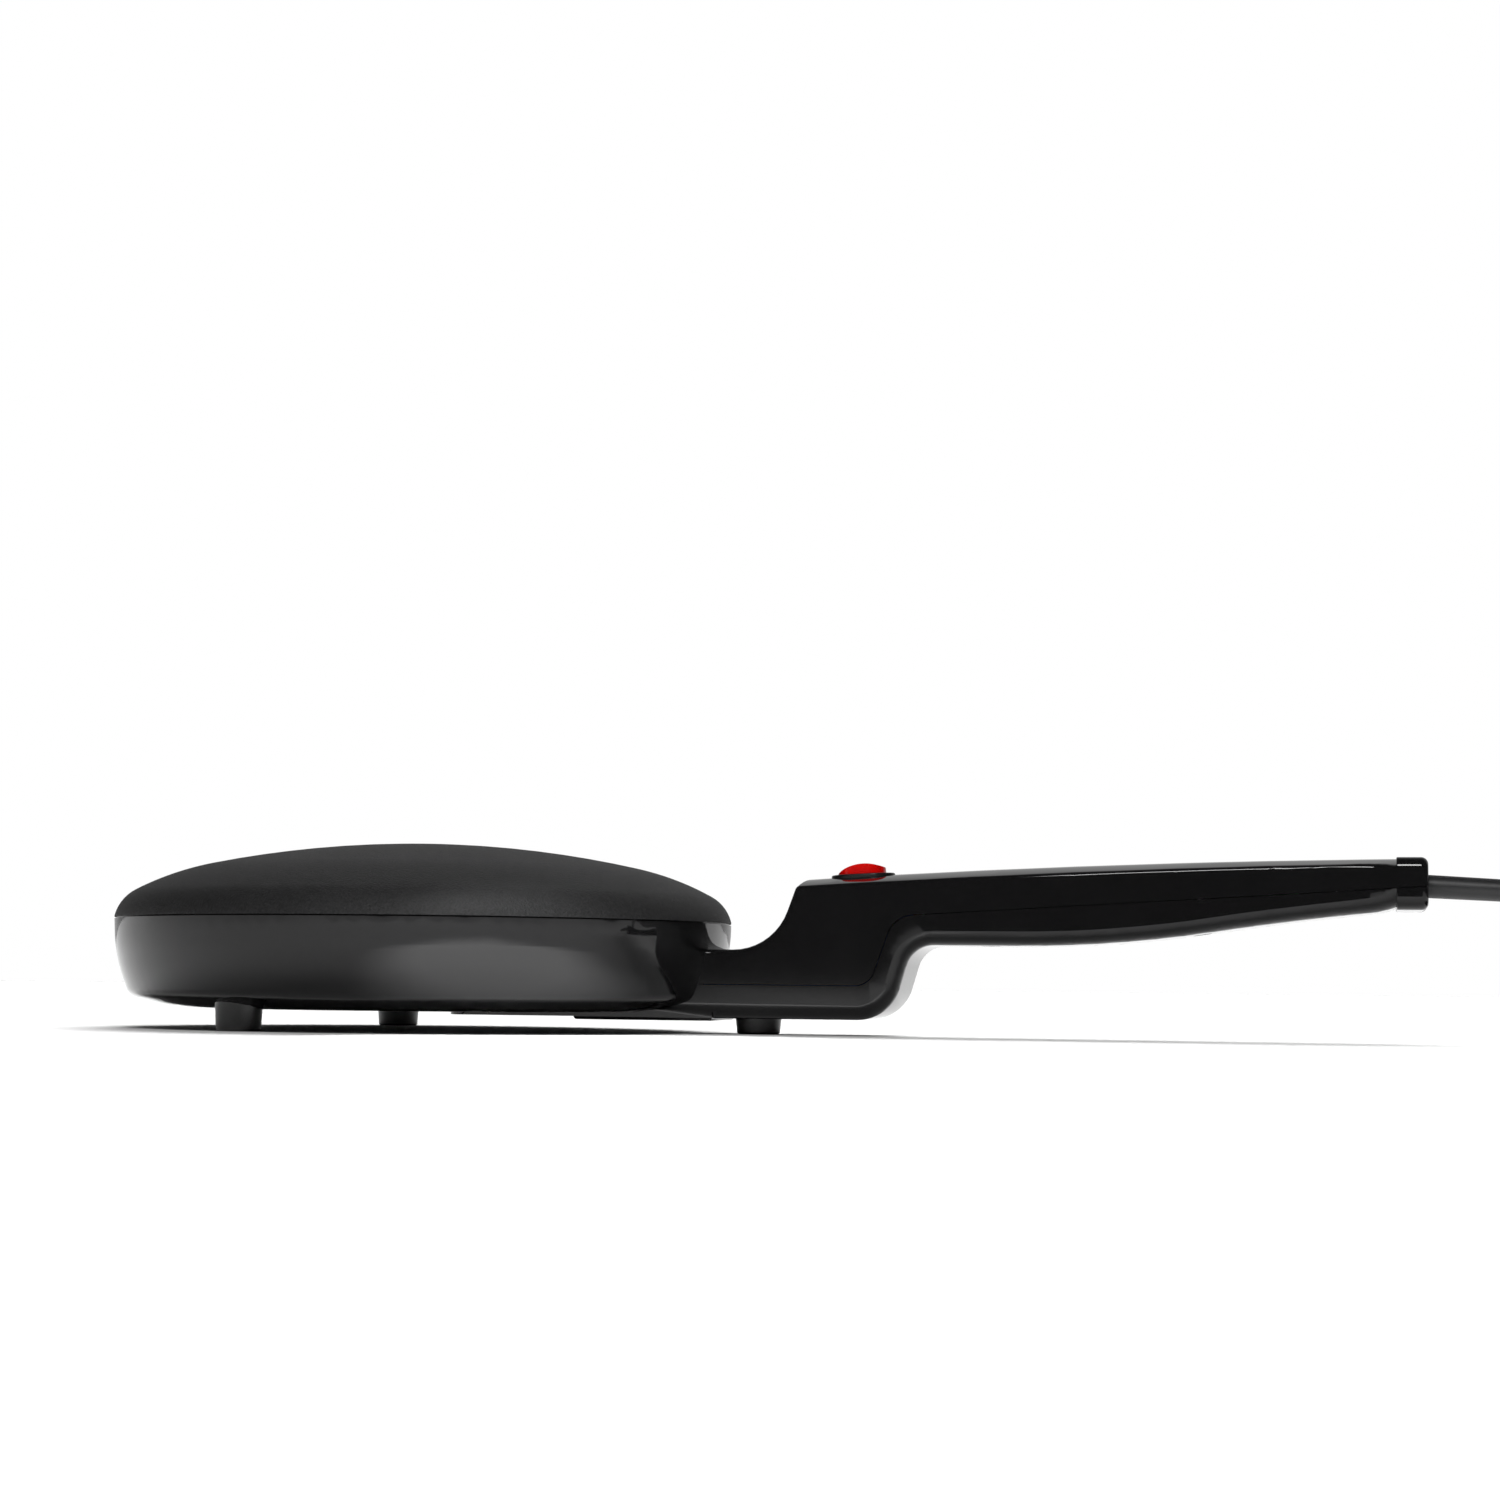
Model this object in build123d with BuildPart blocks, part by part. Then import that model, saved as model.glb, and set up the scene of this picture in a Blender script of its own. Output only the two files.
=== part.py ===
from build123d import *
import math
import os

os.makedirs("parts", exist_ok=True)

# Main sizes, from the plate's axis and up from the table
plate_radius = 100.0
handle_reach = 320.0
seam_height = 35.3
dome_rise = 25.1
bowl_floor = 6.6
neck_half = 17.0
fit = 0.05
gap = 0.3

# Cooking plate
plate_wall = 3.5
crown_radius = 330.0
shoulder_width = 30.0
knuckle_width = 6.5
knuckle_rise = 8.9
rim_edge = 0.5
lip_depth = 3.8
lip_wall = 2.4

# Bowl
bowl_wall = 2.4
bowl_flat_radius = 72.0
bowl_base_curve = 66.0
bowl_side_curve = 60.0
bowl_corner = 4.5
seam_groove = 0.6

# Neck, riser and handle, seen from the side
handle_wall = 2.2
neck_floor = 5.0
neck_top = 26.7
valley_start = 106.3
valley_radius = 18.5
riser_slope = 70.0
riser_back = 163.2
riser_back_slope = 73.5
deck_front_height = 49.5
deck_end_height = 56.2
deck_curve = 3450.0
deck_crown = 53.0
under_height = 28.5
under_flat_end = 196.0
under_bend = (256.0, 33.2)
under_end = 39.3
heel_radius = 14.0
armpit_radius = 9.0
upper_edge_radius = 1.8
lower_edge_radius = 4.5

# Handle from above
grip_start = 150.0
grip_half = 14.8
flare_length = 11.0
flange_half = 17.4
flange_length = 9.0
flange_floor = 40.2
flange_radius = 2.1

# Line between the two housings
parting_neck = 15.7
parting_turn = 150.1
parting_rise = (157.8, 37.5)
parting_end = 47.3
parting_radii = (6.5, 9.0)
parting_gap = 0.2

# Cover that runs under the bowl
tongue_drop = 2.4
tongue_step = 1.0
tongue_step_at = 55.0
tongue_tip = 12.0
tongue_half = 16.5

# Feet
foot_radius = 7.3
foot_taper = 0.5
foot_circle = (-34.5, 75.0)
neck_foot_at = 111.6
foot_stem_radius = 2.4
foot_stem_length = 7.0

# Heater under the plate
element_circle = 56.0
element_radius = 3.25
element_height = 47.5
element_gap_angle = 25.0
element_bend = 9.0
cold_end = 3.0
pin_length = 5.0
pad_half = 5.5
clamp_boss_circle = 66.0
clamp_boss_radius = 3.5
clamp_angles = (90.0, 180.0, 270.0)
clamp_thickness = 1.2
clamp_width = 9.0
small_screw_radius = 1.5
small_head_radius = 2.7
small_head = 1.8

# Screws that hold plate, shield and bowl together
stud_circle = 76.0
stud_angles = (60.0, 180.0, 300.0)
stud_boss_radius = 4.5
stud_screw_radius = 2.0
stud_head_radius = 3.7
stud_head = 2.6
shield_height = 21.0
shield_thickness = 0.8
shield_radius = 90.0
shield_rim = 5.0
shield_notch_half = 20.0
shield_notch_start = 38.0

# Thermostat and thermal fuse
thermostat_at = 14.0
thermostat_radius = 8.0
thermostat_height = 8.0
thermostat_top = 50.0
bracket_half = 14.0
bracket_thickness = 1.0
fuse_at = -16.0
fuse_radius = 2.0
fuse_length = 12.0
fuse_sleeve = 0.7
fuse_height = 44.0
fuse_clip_at = -25.0
earth_at = 78.0
earth_height = 38.0
earth_tag_reach = 85.0

# Rocker switch
switch_at = 145.2
bezel_length = 20.3
bezel_width = 14.0
bezel_thickness = 1.3
bezel_sink = 0.5
rocker_length = 15.3
rocker_width = 9.6
rocker_rise = 1.0
rocker_lens = 2.2
rocker_depth = 3.4
rocker_tilt = 6.0
hinge_depth = 2.6
hinge_pin_radius = 1.0
switch_body_length = 17.6
switch_body_width = 12.4
switch_body_depth = 15.0
switch_wall = 1.2
blade_width = 4.8
blade_thickness = 0.8
blade_length = 7.0
blade_pitch = 5.6
plunger_radius = 1.2
plunger_reach = 6.6
lever_thickness = 0.5
lever_width = 3.6
lever_half = 4.6

# Mains lead
cord_diameter = 6.2
relief_exit_height = 47.8
relief_droop = 3.0
relief_length = 24.0
relief_radius = 3.6
relief_tip_radius = 3.4
relief_collar_radius = 4.3
relief_clearance = 0.15
relief_collar = 2.0
cord_inside = 34.0
coil_gap = 0.5
coil_middle = 34.0
coil_half_turns = 7
coil_centre = (304.0, 62.0)
tie_thickness = 0.8
tie_width = 6.0
plug_height = 19.0
plug_width = 27.0
plug_length = 34.0
plug_boot = 18.0
plug_pin_radius = 2.0
plug_pin_length = 19.0
plug_pin_pitch = 19.0
plug_earth_offset = 3.0

# Wires inside
wire_diameter = 2.0
crimp_radius = 1.6

# Working frame: the length's middle is X = 0, and local sketches measure from the plate's axis
plate_x = (plate_radius - handle_reach) / 2
side = Plane((plate_x, 0, 0), x_dir=(1, 0, 0), z_dir=(0, -1, 0))
plate_axis = Axis((plate_x, 0, 0), (0, 0, 1))
plate_top = seam_height + dome_rise
flange_start = handle_reach - flange_length


def plan(height):
    return Plane((plate_x, 0, height))


def finish(name, part):
    part.label = name
    export_step(part, f"parts/{name}.step")


def polar(radius, angle):
    return (radius * math.cos(math.radians(angle)), radius * math.sin(math.radians(angle)))


def pin(at, radius, low, high):
    """Upright round pin at a place measured from the plate's axis."""
    with BuildPart() as piece:
        with BuildSketch(plan(low)):
            with Locations(at):
                Circle(radius)
        extrude(amount=high - low)
    return piece.part


def screw(at, head_low, head_radius, head, shank_radius, tip):
    """Screw driven from below, with a cross recess in its head."""
    with BuildPart() as piece:
        with BuildSketch(plan(head_low)):
            with Locations(at):
                Circle(head_radius)
        extrude(amount=head)
        with BuildSketch(plan(head_low)):
            with Locations(at):
                Circle(shank_radius)
        extrude(amount=tip - head_low)
        with BuildSketch(plan(head_low)):
            with Locations(at):
                Rectangle(head_radius * 1.2, head_radius * 0.3)
                Rectangle(head_radius * 0.3, head_radius * 1.2)
        extrude(amount=head * 0.6, mode=Mode.SUBTRACT)
    return piece.part


# Shape of the dome: crown, shoulder and knuckle arcs that run into each other
def falling(a, b):
    return math.atan2(a[1] - b[1], b[0] - a[0])


crown_end = plate_radius - shoulder_width
crown_slope = math.asin(crown_end / crown_radius)
shoulder_start = (crown_end, plate_top - crown_radius * (1 - math.cos(crown_slope)))
knuckle_start = (plate_radius - knuckle_width, seam_height + knuckle_rise)
rim_corner = (plate_radius, seam_height + rim_edge)
shoulder_slope = 2 * falling(shoulder_start, knuckle_start) - crown_slope
knuckle_slope = 2 * falling(knuckle_start, rim_corner) - shoulder_slope


def inward(point, slope, inset):
    return (point[0] - inset * math.sin(slope), point[1] - inset * math.cos(slope))


def dome(inset, base):
    """Solid under the dome's surface moved in by inset, down to base."""
    top = (0, plate_top - inset)
    shoulder = inward(shoulder_start, crown_slope, inset)
    knuckle = inward(knuckle_start, shoulder_slope, inset)
    rim = inward(rim_corner, knuckle_slope, inset)
    with BuildPart() as piece:
        with BuildSketch(side):
            with BuildLine():
                TangentArc(top, shoulder, tangent=(1, 0))
                TangentArc(shoulder, knuckle, tangent=(math.cos(crown_slope), -math.sin(crown_slope)))
                TangentArc(knuckle, rim, tangent=(math.cos(shoulder_slope), -math.sin(shoulder_slope)))
                Polyline(rim, (rim[0], base), (0, base), top)
            make_face()
        revolve(axis=plate_axis)
    return piece.part


def ring(inner, outer, low, high):
    with BuildPart() as piece:
        with BuildSketch(plan(low)):
            Circle(outer)
            Circle(inner, mode=Mode.SUBTRACT)
        extrude(amount=high - low)
    return piece.part


# Shape of the bowl: flat floor, rising base, rounded corner and leaning side
def circles_meet(c1, r1, c2, r2):
    """Lower crossing of two circles."""
    apart = math.dist(c1, c2)
    along = (r1 * r1 - r2 * r2 + apart * apart) / (2 * apart)
    across = math.sqrt(r1 * r1 - along * along)
    ux, uz = (c2[0] - c1[0]) / apart, (c2[1] - c1[1]) / apart
    options = [(c1[0] + along * ux + s * across * uz, c1[1] + along * uz - s * across * ux) for s in (1, -1)]
    return min(options, key=lambda point: point[1])


def bowl(inset, top):
    """Solid inside the bowl's surface moved in by inset, up to top."""
    base_centre = (bowl_flat_radius, bowl_floor + bowl_base_curve)
    side_centre = (plate_radius - bowl_side_curve, seam_height - gap)
    corner = circles_meet(base_centre, bowl_base_curve - inset, side_centre, bowl_side_curve - inset)
    start = (bowl_flat_radius, bowl_floor + inset)
    shoulder = (plate_radius - inset, side_centre[1])
    with BuildPart() as piece:
        with BuildSketch(side) as section:
            with BuildLine():
                TangentArc(start, corner, tangent=(1, 0))
                TangentArc(shoulder, corner, tangent=(0, -1))
                Polyline(shoulder, (shoulder[0], top), (0, top), (0, start[1]), start)
            make_face()
            fillet(section.vertices().sort_by_distance(corner)[0], bowl_corner - inset)
        revolve(axis=plate_axis)
    return piece.part


# Outline of neck, riser and handle from the side
def side_outline():
    a = math.radians(riser_slope)
    b = math.radians(riser_back_slope)
    left = plate_radius - 20
    valley_end = (
        valley_start + valley_radius * math.sin(a),
        neck_top + valley_radius * (1 - math.cos(a)),
    )
    deck_front = (valley_end[0] + (deck_front_height - valley_end[1]) / math.tan(a), deck_front_height)
    deck_end = (handle_reach, deck_end_height)
    under_start = (under_flat_end, under_height)
    armpit = (riser_back, under_height)
    heel = (riser_back - (under_height - neck_floor) / math.tan(b), neck_floor)
    grip_end = (flange_start - 8, under_end)
    with BuildSketch() as outline:
        with BuildLine():
            Line((left, neck_top), (valley_start, neck_top))
            TangentArc((valley_start, neck_top), valley_end, tangent=(1, 0))
            Line(valley_end, deck_front)
            RadiusArc(deck_front, deck_end, deck_curve)
            Polyline(deck_end, (handle_reach, under_end + 1.9), (flange_start, under_end + 1.9))
            rising = TangentArc(under_start, under_bend, tangent=(1, 0))
            grip = TangentArc(under_bend, grip_end, tangent=rising % 1)
            TangentArc(grip_end, (flange_start, under_end + 1.9), tangent=grip % 1)
            Polyline(under_start, armpit, heel, (left, neck_floor), (left, neck_top))
        make_face()
        fillet(outline.vertices().sort_by_distance(armpit)[0], armpit_radius)
        fillet(outline.vertices().sort_by_distance(heel)[0], heel_radius)
    return outline.sketch


# Outline of neck and handle from above
def plan_outline():
    left = plate_radius - 20
    grip_end = (flange_start - flare_length, grip_half)
    flare_end = (flange_start, flange_half - 0.2)
    with BuildSketch() as outline:
        with BuildLine():
            Line((left, neck_half), (grip_start, neck_half))
            grip = TangentArc((grip_start, neck_half), grip_end, tangent=(1, 0))
            TangentArc(grip_end, flare_end, tangent=grip % 1)
            Polyline(flare_end, (handle_reach, flange_half), (handle_reach, 0), (left, 0), (left, neck_half))
        make_face()
        mirror(about=Plane.XZ)
    return outline.sketch


# The handle's top is an arc lengthwise and another across, as a barrel is
def barrel(inset):
    front = Vector(valley_start + 25.7, deck_front_height)
    back = Vector(handle_reach, deck_end_height)
    chord = back - front
    tilt = math.atan2(chord.Y, chord.X)
    depth = math.sqrt(deck_curve**2 - chord.length**2 / 4)
    middle = (front + back) / 2
    centre = Vector(plate_x + middle.X + depth * math.sin(tilt), 0, middle.Y - depth * math.cos(tilt))
    start = math.radians(-4.8)
    outwards = Vector(math.sin(start), 0, math.cos(start))
    across = Vector(0, 1, 0)
    half = neck_half + 8
    curve = deck_crown - inset
    drop = curve - math.sqrt(curve**2 - half**2)
    deep = deck_end_height + 20
    with BuildPart() as piece:
        with BuildSketch(Plane(centre + outwards * deck_curve, x_dir=across, z_dir=across.cross(outwards))):
            with BuildLine():
                ThreePointArc((-half, -inset - drop), (0, -inset), (half, -inset - drop))
                Polyline((half, -inset - drop), (half, -deep), (-half, -deep), (-half, -inset - drop))
            make_face()
        revolve(axis=Axis(tuple(centre), (0, 1, 0)), revolution_arc=5.5)
    return piece.part


def handle_block(inset):
    """Neck, riser and handle as one block, with its faces moved in by inset."""
    with BuildPart() as piece:
        with BuildSketch(side):
            add(side_outline())
            if inset:
                offset(amount=-inset, kind=Kind.INTERSECTION, mode=Mode.REPLACE)
        extrude(amount=2 * neck_half, both=True)
        with BuildSketch(plan(0)):
            add(plan_outline())
            if inset:
                offset(amount=-inset, kind=Kind.INTERSECTION, mode=Mode.REPLACE)
        extrude(amount=deck_end_height + 20, mode=Mode.INTERSECT)
        add(barrel(inset), mode=Mode.INTERSECT)
    return piece.part


def flank_edges(part, upper):
    """Lengthwise edges at the sides of the block, on its upper or lower face."""
    found = []
    for edge in part.edges():
        a, b, middle = edge @ 0, edge @ 1, edge @ 0.5
        along = middle.X - plate_x
        level = neck_floor + 5
        if along > grip_start:
            level = neck_top + 8
        if along > grip_start + 20:
            level = under_end + 4
        upright = abs(a.X - b.X) < 0.05 and abs(a.Y - b.Y) < 0.05
        if abs(middle.Y) > 12 and a.Y * b.Y > 0 and not upright and (middle.Z > level) == upper:
            found.append(edge)
    return found


def front_edge(part):
    crossing = part.edges().filter_by(lambda edge: abs((edge @ 0.5).Y) < 1)
    return crossing.sort_by_distance((plate_x + valley_start + 21, 0, deck_front_height))[0]


def flange():
    """Flared end of the handle."""
    with BuildPart() as piece:
        with BuildSketch(Plane((plate_x + flange_start - 0.4, 0, 0), x_dir=(0, 1, 0), z_dir=(1, 0, 0))):
            with Locations((0, (flange_floor + deck_end_height) / 2)):
                RectangleRounded(2 * flange_half, deck_end_height - flange_floor, 4)
        extrude(amount=flange_length + 0.4)
        fillet(piece.edges().group_by(Axis.X)[-1], flange_radius)
        fillet(piece.edges().group_by(Axis.X)[0], 0.35)
    return piece.part


with BuildPart() as outer_block:
    add(handle_block(0))
    with BuildSketch(side):
        with Locations((flange_start + 20, deck_end_height)):
            Rectangle(40, 120)
    extrude(amount=2 * neck_half, both=True, mode=Mode.SUBTRACT)
    fillet(flank_edges(outer_block, False), lower_edge_radius)
    fillet(flank_edges(outer_block, True) + [front_edge(outer_block)], upper_edge_radius)
    add(flange())

inner_block = handle_block(handle_wall)


# The space above the line where the two housings meet, moved up by lift
def above_parting(lift):
    slope = (parting_end - parting_rise[1]) / (handle_reach - parting_rise[0])
    far = handle_reach + 20
    with BuildPart() as piece:
        with BuildSketch(side):
            with BuildLine():
                FilletPolyline(
                    (0, parting_neck + lift),
                    (parting_turn - lift, parting_neck + lift),
                    (parting_rise[0] - lift, parting_rise[1] + lift),
                    (far, parting_end + slope * 20 + lift),
                    radius=parting_radii,
                )
                end = (far, parting_end + slope * 20 + lift)
                Polyline(end, (far, 120), (0, 120), (0, parting_neck + lift))
            make_face()
        extrude(amount=3 * neck_half, both=True)
    return piece.part


# Screws between the housings, measured from the plate's axis
housing_screw_at = (70.0, 186.0, 252.0)
tongue_screw_seat = bowl_floor - 1.0
tongue_screw_head = 1.2
housing_boss_radius = 4.2


def parting_height(along):
    """Height of the parting line at a place along the handle."""
    run = (along - parting_rise[0]) / (handle_reach - parting_rise[0])
    return parting_rise[1] + run * (parting_end - parting_rise[1])


# Switch frame: its bezel lies along the handle's top
switch_slope = 3.1
deck_at_switch = 50.25
seat = Plane((plate_x + switch_at, 0, deck_at_switch), x_dir=(1, 0, 0), z_dir=(0, 0, 1)).rotated((0, -switch_slope, 0))

# Lead's exit: the axis of strain relief and cord, pointing out of the handle
droop = math.radians(relief_droop)
exit_plane = Plane(
    (plate_x + handle_reach, 0, relief_exit_height),
    x_dir=(0, 1, 0),
    z_dir=(math.cos(droop), 0, -math.sin(droop)),
)


def exit_bar(radius, start, length, tip=None):
    """Round bar on the lead's axis, from start to start + length past the end face."""
    with BuildPart() as piece:
        with BuildSketch(exit_plane.offset(start)):
            Circle(radius)
        with BuildSketch(exit_plane.offset(start + length)):
            Circle(tip or radius)
        loft()
    return piece.part


bowl_inner_radius = plate_radius - bowl_wall
wire_way_half = 11.0
wire_way = (9.6, 23.0)
clamp_post_at = handle_reach - 24
clamp_post_side = 8.0
clamp_bar_top = relief_exit_height + 24 * math.tan(droop) - cord_diameter / 2 - fit
clamp_bar_thickness = 2.2
foot_places = [foot_circle, (foot_circle[0], -foot_circle[1])]


# Upper housing: bowl, neck and the handle's top in one moulding
def screw_post(at, low, high, radius=housing_boss_radius):
    return pin((at, 0), radius, low, high)


with BuildPart() as upper_housing:
    add(outer_block.part)
    add(above_parting(parting_gap / 2), mode=Mode.INTERSECT)
    add(bowl(0, seam_height))
    add(inner_block - bowl(0, seam_height), mode=Mode.SUBTRACT)
    add(bowl(bowl_wall, seam_height + 20), mode=Mode.SUBTRACT)
    # Groove that shows as the dark line under the plate
    add(ring(plate_radius - seam_groove, plate_radius + 5, seam_height - 0.5, seam_height + 1), mode=Mode.SUBTRACT)
    # Way for the wires from the neck into the bowl
    with BuildSketch(Plane((plate_x, 0, 0), x_dir=(0, 1, 0), z_dir=(1, 0, 0))):
        with Locations((0, sum(wire_way) / 2)):
            RectangleRounded(2 * wire_way_half, wire_way[1] - wire_way[0], 2)
    extrude(amount=plate_radius + 3, mode=Mode.SUBTRACT)
    # Posts for the plate's screws
    for angle in stud_angles:
        add(pin(polar(stud_circle, angle), stud_boss_radius + 1, bowl_floor, shield_height) & bowl(0, seam_height))
    for angle in stud_angles:
        add(pin(polar(stud_circle, angle), stud_head_radius + gap, 0, shield_height - 7), mode=Mode.SUBTRACT)
        add(pin(polar(stud_circle, angle), stud_screw_radius + gap, 0, shield_height + 1), mode=Mode.SUBTRACT)
    # Sockets for the two front feet
    for place in foot_places:
        add(pin(place, foot_stem_radius + 2.2, bowl_floor, bowl_floor + foot_stem_length + 2.5) & bowl(0, seam_height))
    for place in foot_places:
        add(pin(place, foot_stem_radius + fit, 0, bowl_floor + foot_stem_length + 0.5), mode=Mode.SUBTRACT)
    # Posts that take the housing screws
    add(screw_post(housing_screw_at[0], bowl_floor + 1, bowl_floor + 12))
    add(screw_post(housing_screw_at[0], 0, bowl_floor + 10, small_screw_radius + fit), mode=Mode.SUBTRACT)
    for at in housing_screw_at[1:]:
        add(screw_post(at, parting_height(at), deck_end_height) & outer_block.part)
        add(screw_post(at, 0, parting_height(at) + 5, small_screw_radius + fit), mode=Mode.SUBTRACT)
    # Posts that take the cord clamp's screws
    for y in (clamp_post_side, -clamp_post_side):
        add(pin((clamp_post_at, y), 2.8, clamp_bar_top, deck_end_height - 2.2))
        add(pin((clamp_post_at, y), small_screw_radius + fit, clamp_bar_top, clamp_bar_top + 6), mode=Mode.SUBTRACT)
    # Seat and cut-out for the switch
    with BuildSketch(seat.offset(-bezel_sink)):
        SlotOverall(bezel_length + 2 * gap, bezel_width + 2 * gap)
    extrude(amount=6, mode=Mode.SUBTRACT)
    with BuildSketch(seat.offset(-8)):
        Rectangle(switch_body_length + 2 * gap, switch_body_width + 2 * gap)
    extrude(amount=14, mode=Mode.SUBTRACT)
    # Hole for the strain relief
    add(exit_bar(relief_radius + relief_clearance, -8, 12), mode=Mode.SUBTRACT)
finish("upper_housing", upper_housing.part)

# Lower housing: underside of neck and handle, with the tongue under the bowl
with BuildPart() as tongue:
    with BuildSketch(plan(bowl_floor - tongue_drop)):
        with Locations(((tongue_step_at + plate_radius) / 2, 0)):
            Rectangle(plate_radius - tongue_step_at, 2 * tongue_half)
    extrude(amount=tongue_drop + 9)
    fillet(tongue.edges().group_by(Axis.Z)[0], tongue_step)
    with BuildSketch(plan(bowl_floor - tongue_drop + tongue_step)):
        with Locations(((tongue_tip + plate_radius) / 2, 0)):
            RectangleRounded(plate_radius - tongue_tip, 2 * tongue_half, 8)
    extrude(amount=tongue_drop - tongue_step)
    add(bowl(-fit, seam_height), mode=Mode.SUBTRACT)

with BuildPart() as lower_housing:
    add(outer_block.part - above_parting(-parting_gap / 2))
    add(bowl(-fit, seam_height), mode=Mode.SUBTRACT)
    add(tongue.part)
    add(inner_block - bowl(-handle_wall, seam_height), mode=Mode.SUBTRACT)
    # Way for the wires into the bowl
    with BuildSketch(Plane((plate_x + plate_radius - 8, 0, 0), x_dir=(0, 1, 0), z_dir=(1, 0, 0))):
        with Locations((0, wire_way[0] + 10)):
            Rectangle(2 * wire_way_half, 20)
    extrude(amount=14, mode=Mode.SUBTRACT)
    # Posts for the housing screws, with their heads sunk from below
    for at in housing_screw_at[1:]:
        add(screw_post(at, under_height, parting_height(at)) & outer_block.part)
    for at in housing_screw_at[1:]:
        add(screw_post(at, 0, parting_height(at) - 4, small_head_radius + gap), mode=Mode.SUBTRACT)
        add(screw_post(at, 0, 60, small_screw_radius + gap), mode=Mode.SUBTRACT)
    add(screw_post(housing_screw_at[0], 0, tongue_screw_seat, small_head_radius + gap), mode=Mode.SUBTRACT)
    add(screw_post(housing_screw_at[0], 0, 60, small_screw_radius + gap), mode=Mode.SUBTRACT)
    # Socket for the neck foot
    add(pin((neck_foot_at, 0), foot_stem_radius + 2.2, neck_floor + 1, neck_floor + foot_stem_length + 2))
    add(pin((neck_foot_at, 0), foot_stem_radius + fit, 0, neck_floor + foot_stem_length + 0.5), mode=Mode.SUBTRACT)
    # Hole for the strain relief
    add(exit_bar(relief_radius + relief_clearance, -8, 12), mode=Mode.SUBTRACT)
finish("lower_housing", lower_housing.part)

# Cooking plate: domed casting with bosses and the heater's pad underneath
with BuildPart() as cooking_plate:
    add(ring(element_circle - pad_half, element_circle + pad_half, element_height, plate_top))
    for angle in stud_angles:
        add(pin(polar(stud_circle, angle), stud_boss_radius, shield_height + shield_thickness, plate_top))
    for angle in clamp_angles:
        add(pin(polar(clamp_boss_circle, angle), clamp_boss_radius, element_height - element_radius - fit, plate_top))
    for y in (bracket_half - 3, 3 - bracket_half):
        add(pin((thermostat_at, y), 2.6, thermostat_top - thermostat_height + 2, plate_top))
    add(pin((thermostat_at, 0), thermostat_radius, thermostat_top, plate_top))
    add(pin((fuse_clip_at, 0), 3.0, fuse_height + fuse_radius + fuse_sleeve, plate_top))
    add(pin((earth_at, 0), 3.2, earth_height, plate_top))
    lip_outer = bowl_inner_radius - gap
    add(ring(lip_outer - lip_wall, lip_outer, seam_height - lip_depth, seam_height + 4.2))
    add(dome(plate_wall / 2, shield_height), mode=Mode.INTERSECT)
    add(dome(0, seam_height) - dome(plate_wall, seam_height - 5))
    with BuildSketch(side):
        with Locations((element_circle, element_height)):
            Circle(element_radius + fit)
    revolve(axis=plate_axis, mode=Mode.SUBTRACT)
    for angle in stud_angles:
        add(pin(polar(stud_circle, angle), stud_screw_radius + fit, shield_height, shield_height + 16), mode=Mode.SUBTRACT)
    for angle in clamp_angles:
        at = polar(clamp_boss_circle, angle)
        add(pin(at, small_screw_radius + fit, 40, element_height + 2), mode=Mode.SUBTRACT)
    for y in (bracket_half - 3, 3 - bracket_half):
        add(pin((thermostat_at, y), small_screw_radius + fit, 40, thermostat_top - 1), mode=Mode.SUBTRACT)
    add(pin((fuse_clip_at, 0), small_screw_radius + fit, 40, fuse_height + 7), mode=Mode.SUBTRACT)
    add(pin((earth_at, 0), small_screw_radius + fit, 30, earth_height + 6), mode=Mode.SUBTRACT)
finish("cooking_plate", cooking_plate.part)

# Heating element: an open ring whose cold ends turn down
ring_end = polar(element_circle, element_gap_angle)
leaving = Vector(math.sin(math.radians(element_gap_angle)), -math.cos(math.radians(element_gap_angle)), 0)
element_foot = element_height - element_bend - cold_end
foot_xy = (ring_end[0] + element_bend * leaving.X, ring_end[1] + element_bend * leaving.Y)


def element_end(sign):
    """Points of one cold end: ring end, middle of the bend, end of the bend, foot."""
    start = Vector(plate_x + ring_end[0], sign * ring_end[1], element_height)
    away = Vector(leaving.X, sign * leaving.Y, 0)
    turn = start - Vector(0, 0, element_bend)
    half = turn + (away + Vector(0, 0, 1)) * (element_bend * math.sqrt(0.5))
    low = turn + away * element_bend
    return start, half, low, low - Vector(0, 0, cold_end)


with BuildPart() as heating_element:
    with BuildLine():
        one = element_end(1)
        two = element_end(-1)
        Line(one[3], one[2])
        ThreePointArc(one[2], one[1], one[0])
        ThreePointArc(one[0], (plate_x - element_circle, 0, element_height), two[0])
        ThreePointArc(two[0], two[1], two[2])
        Line(two[2], two[3])
    with BuildSketch(Plane(one[3], z_dir=(0, 0, 1))):
        Circle(element_radius)
    sweep()
finish("heating_element", heating_element.part)

terminal_places = [(foot_xy[0], foot_xy[1]), (foot_xy[0], -foot_xy[1])]
bead_height = 3.0
terminal_low = element_foot - bead_height - pin_length
with BuildPart() as terminal_beads:
    for place in terminal_places:
        add(pin(place, element_radius - 0.4, element_foot - bead_height, element_foot))
        add(pin(place, 1.2 + fit, element_foot - bead_height, element_foot), mode=Mode.SUBTRACT)
finish("terminal_beads", terminal_beads.part)
with BuildPart() as terminal_pins:
    for place in terminal_places:
        add(pin(place, 1.2, terminal_low, element_foot))
finish("terminal_pins", terminal_pins.part)

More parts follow.
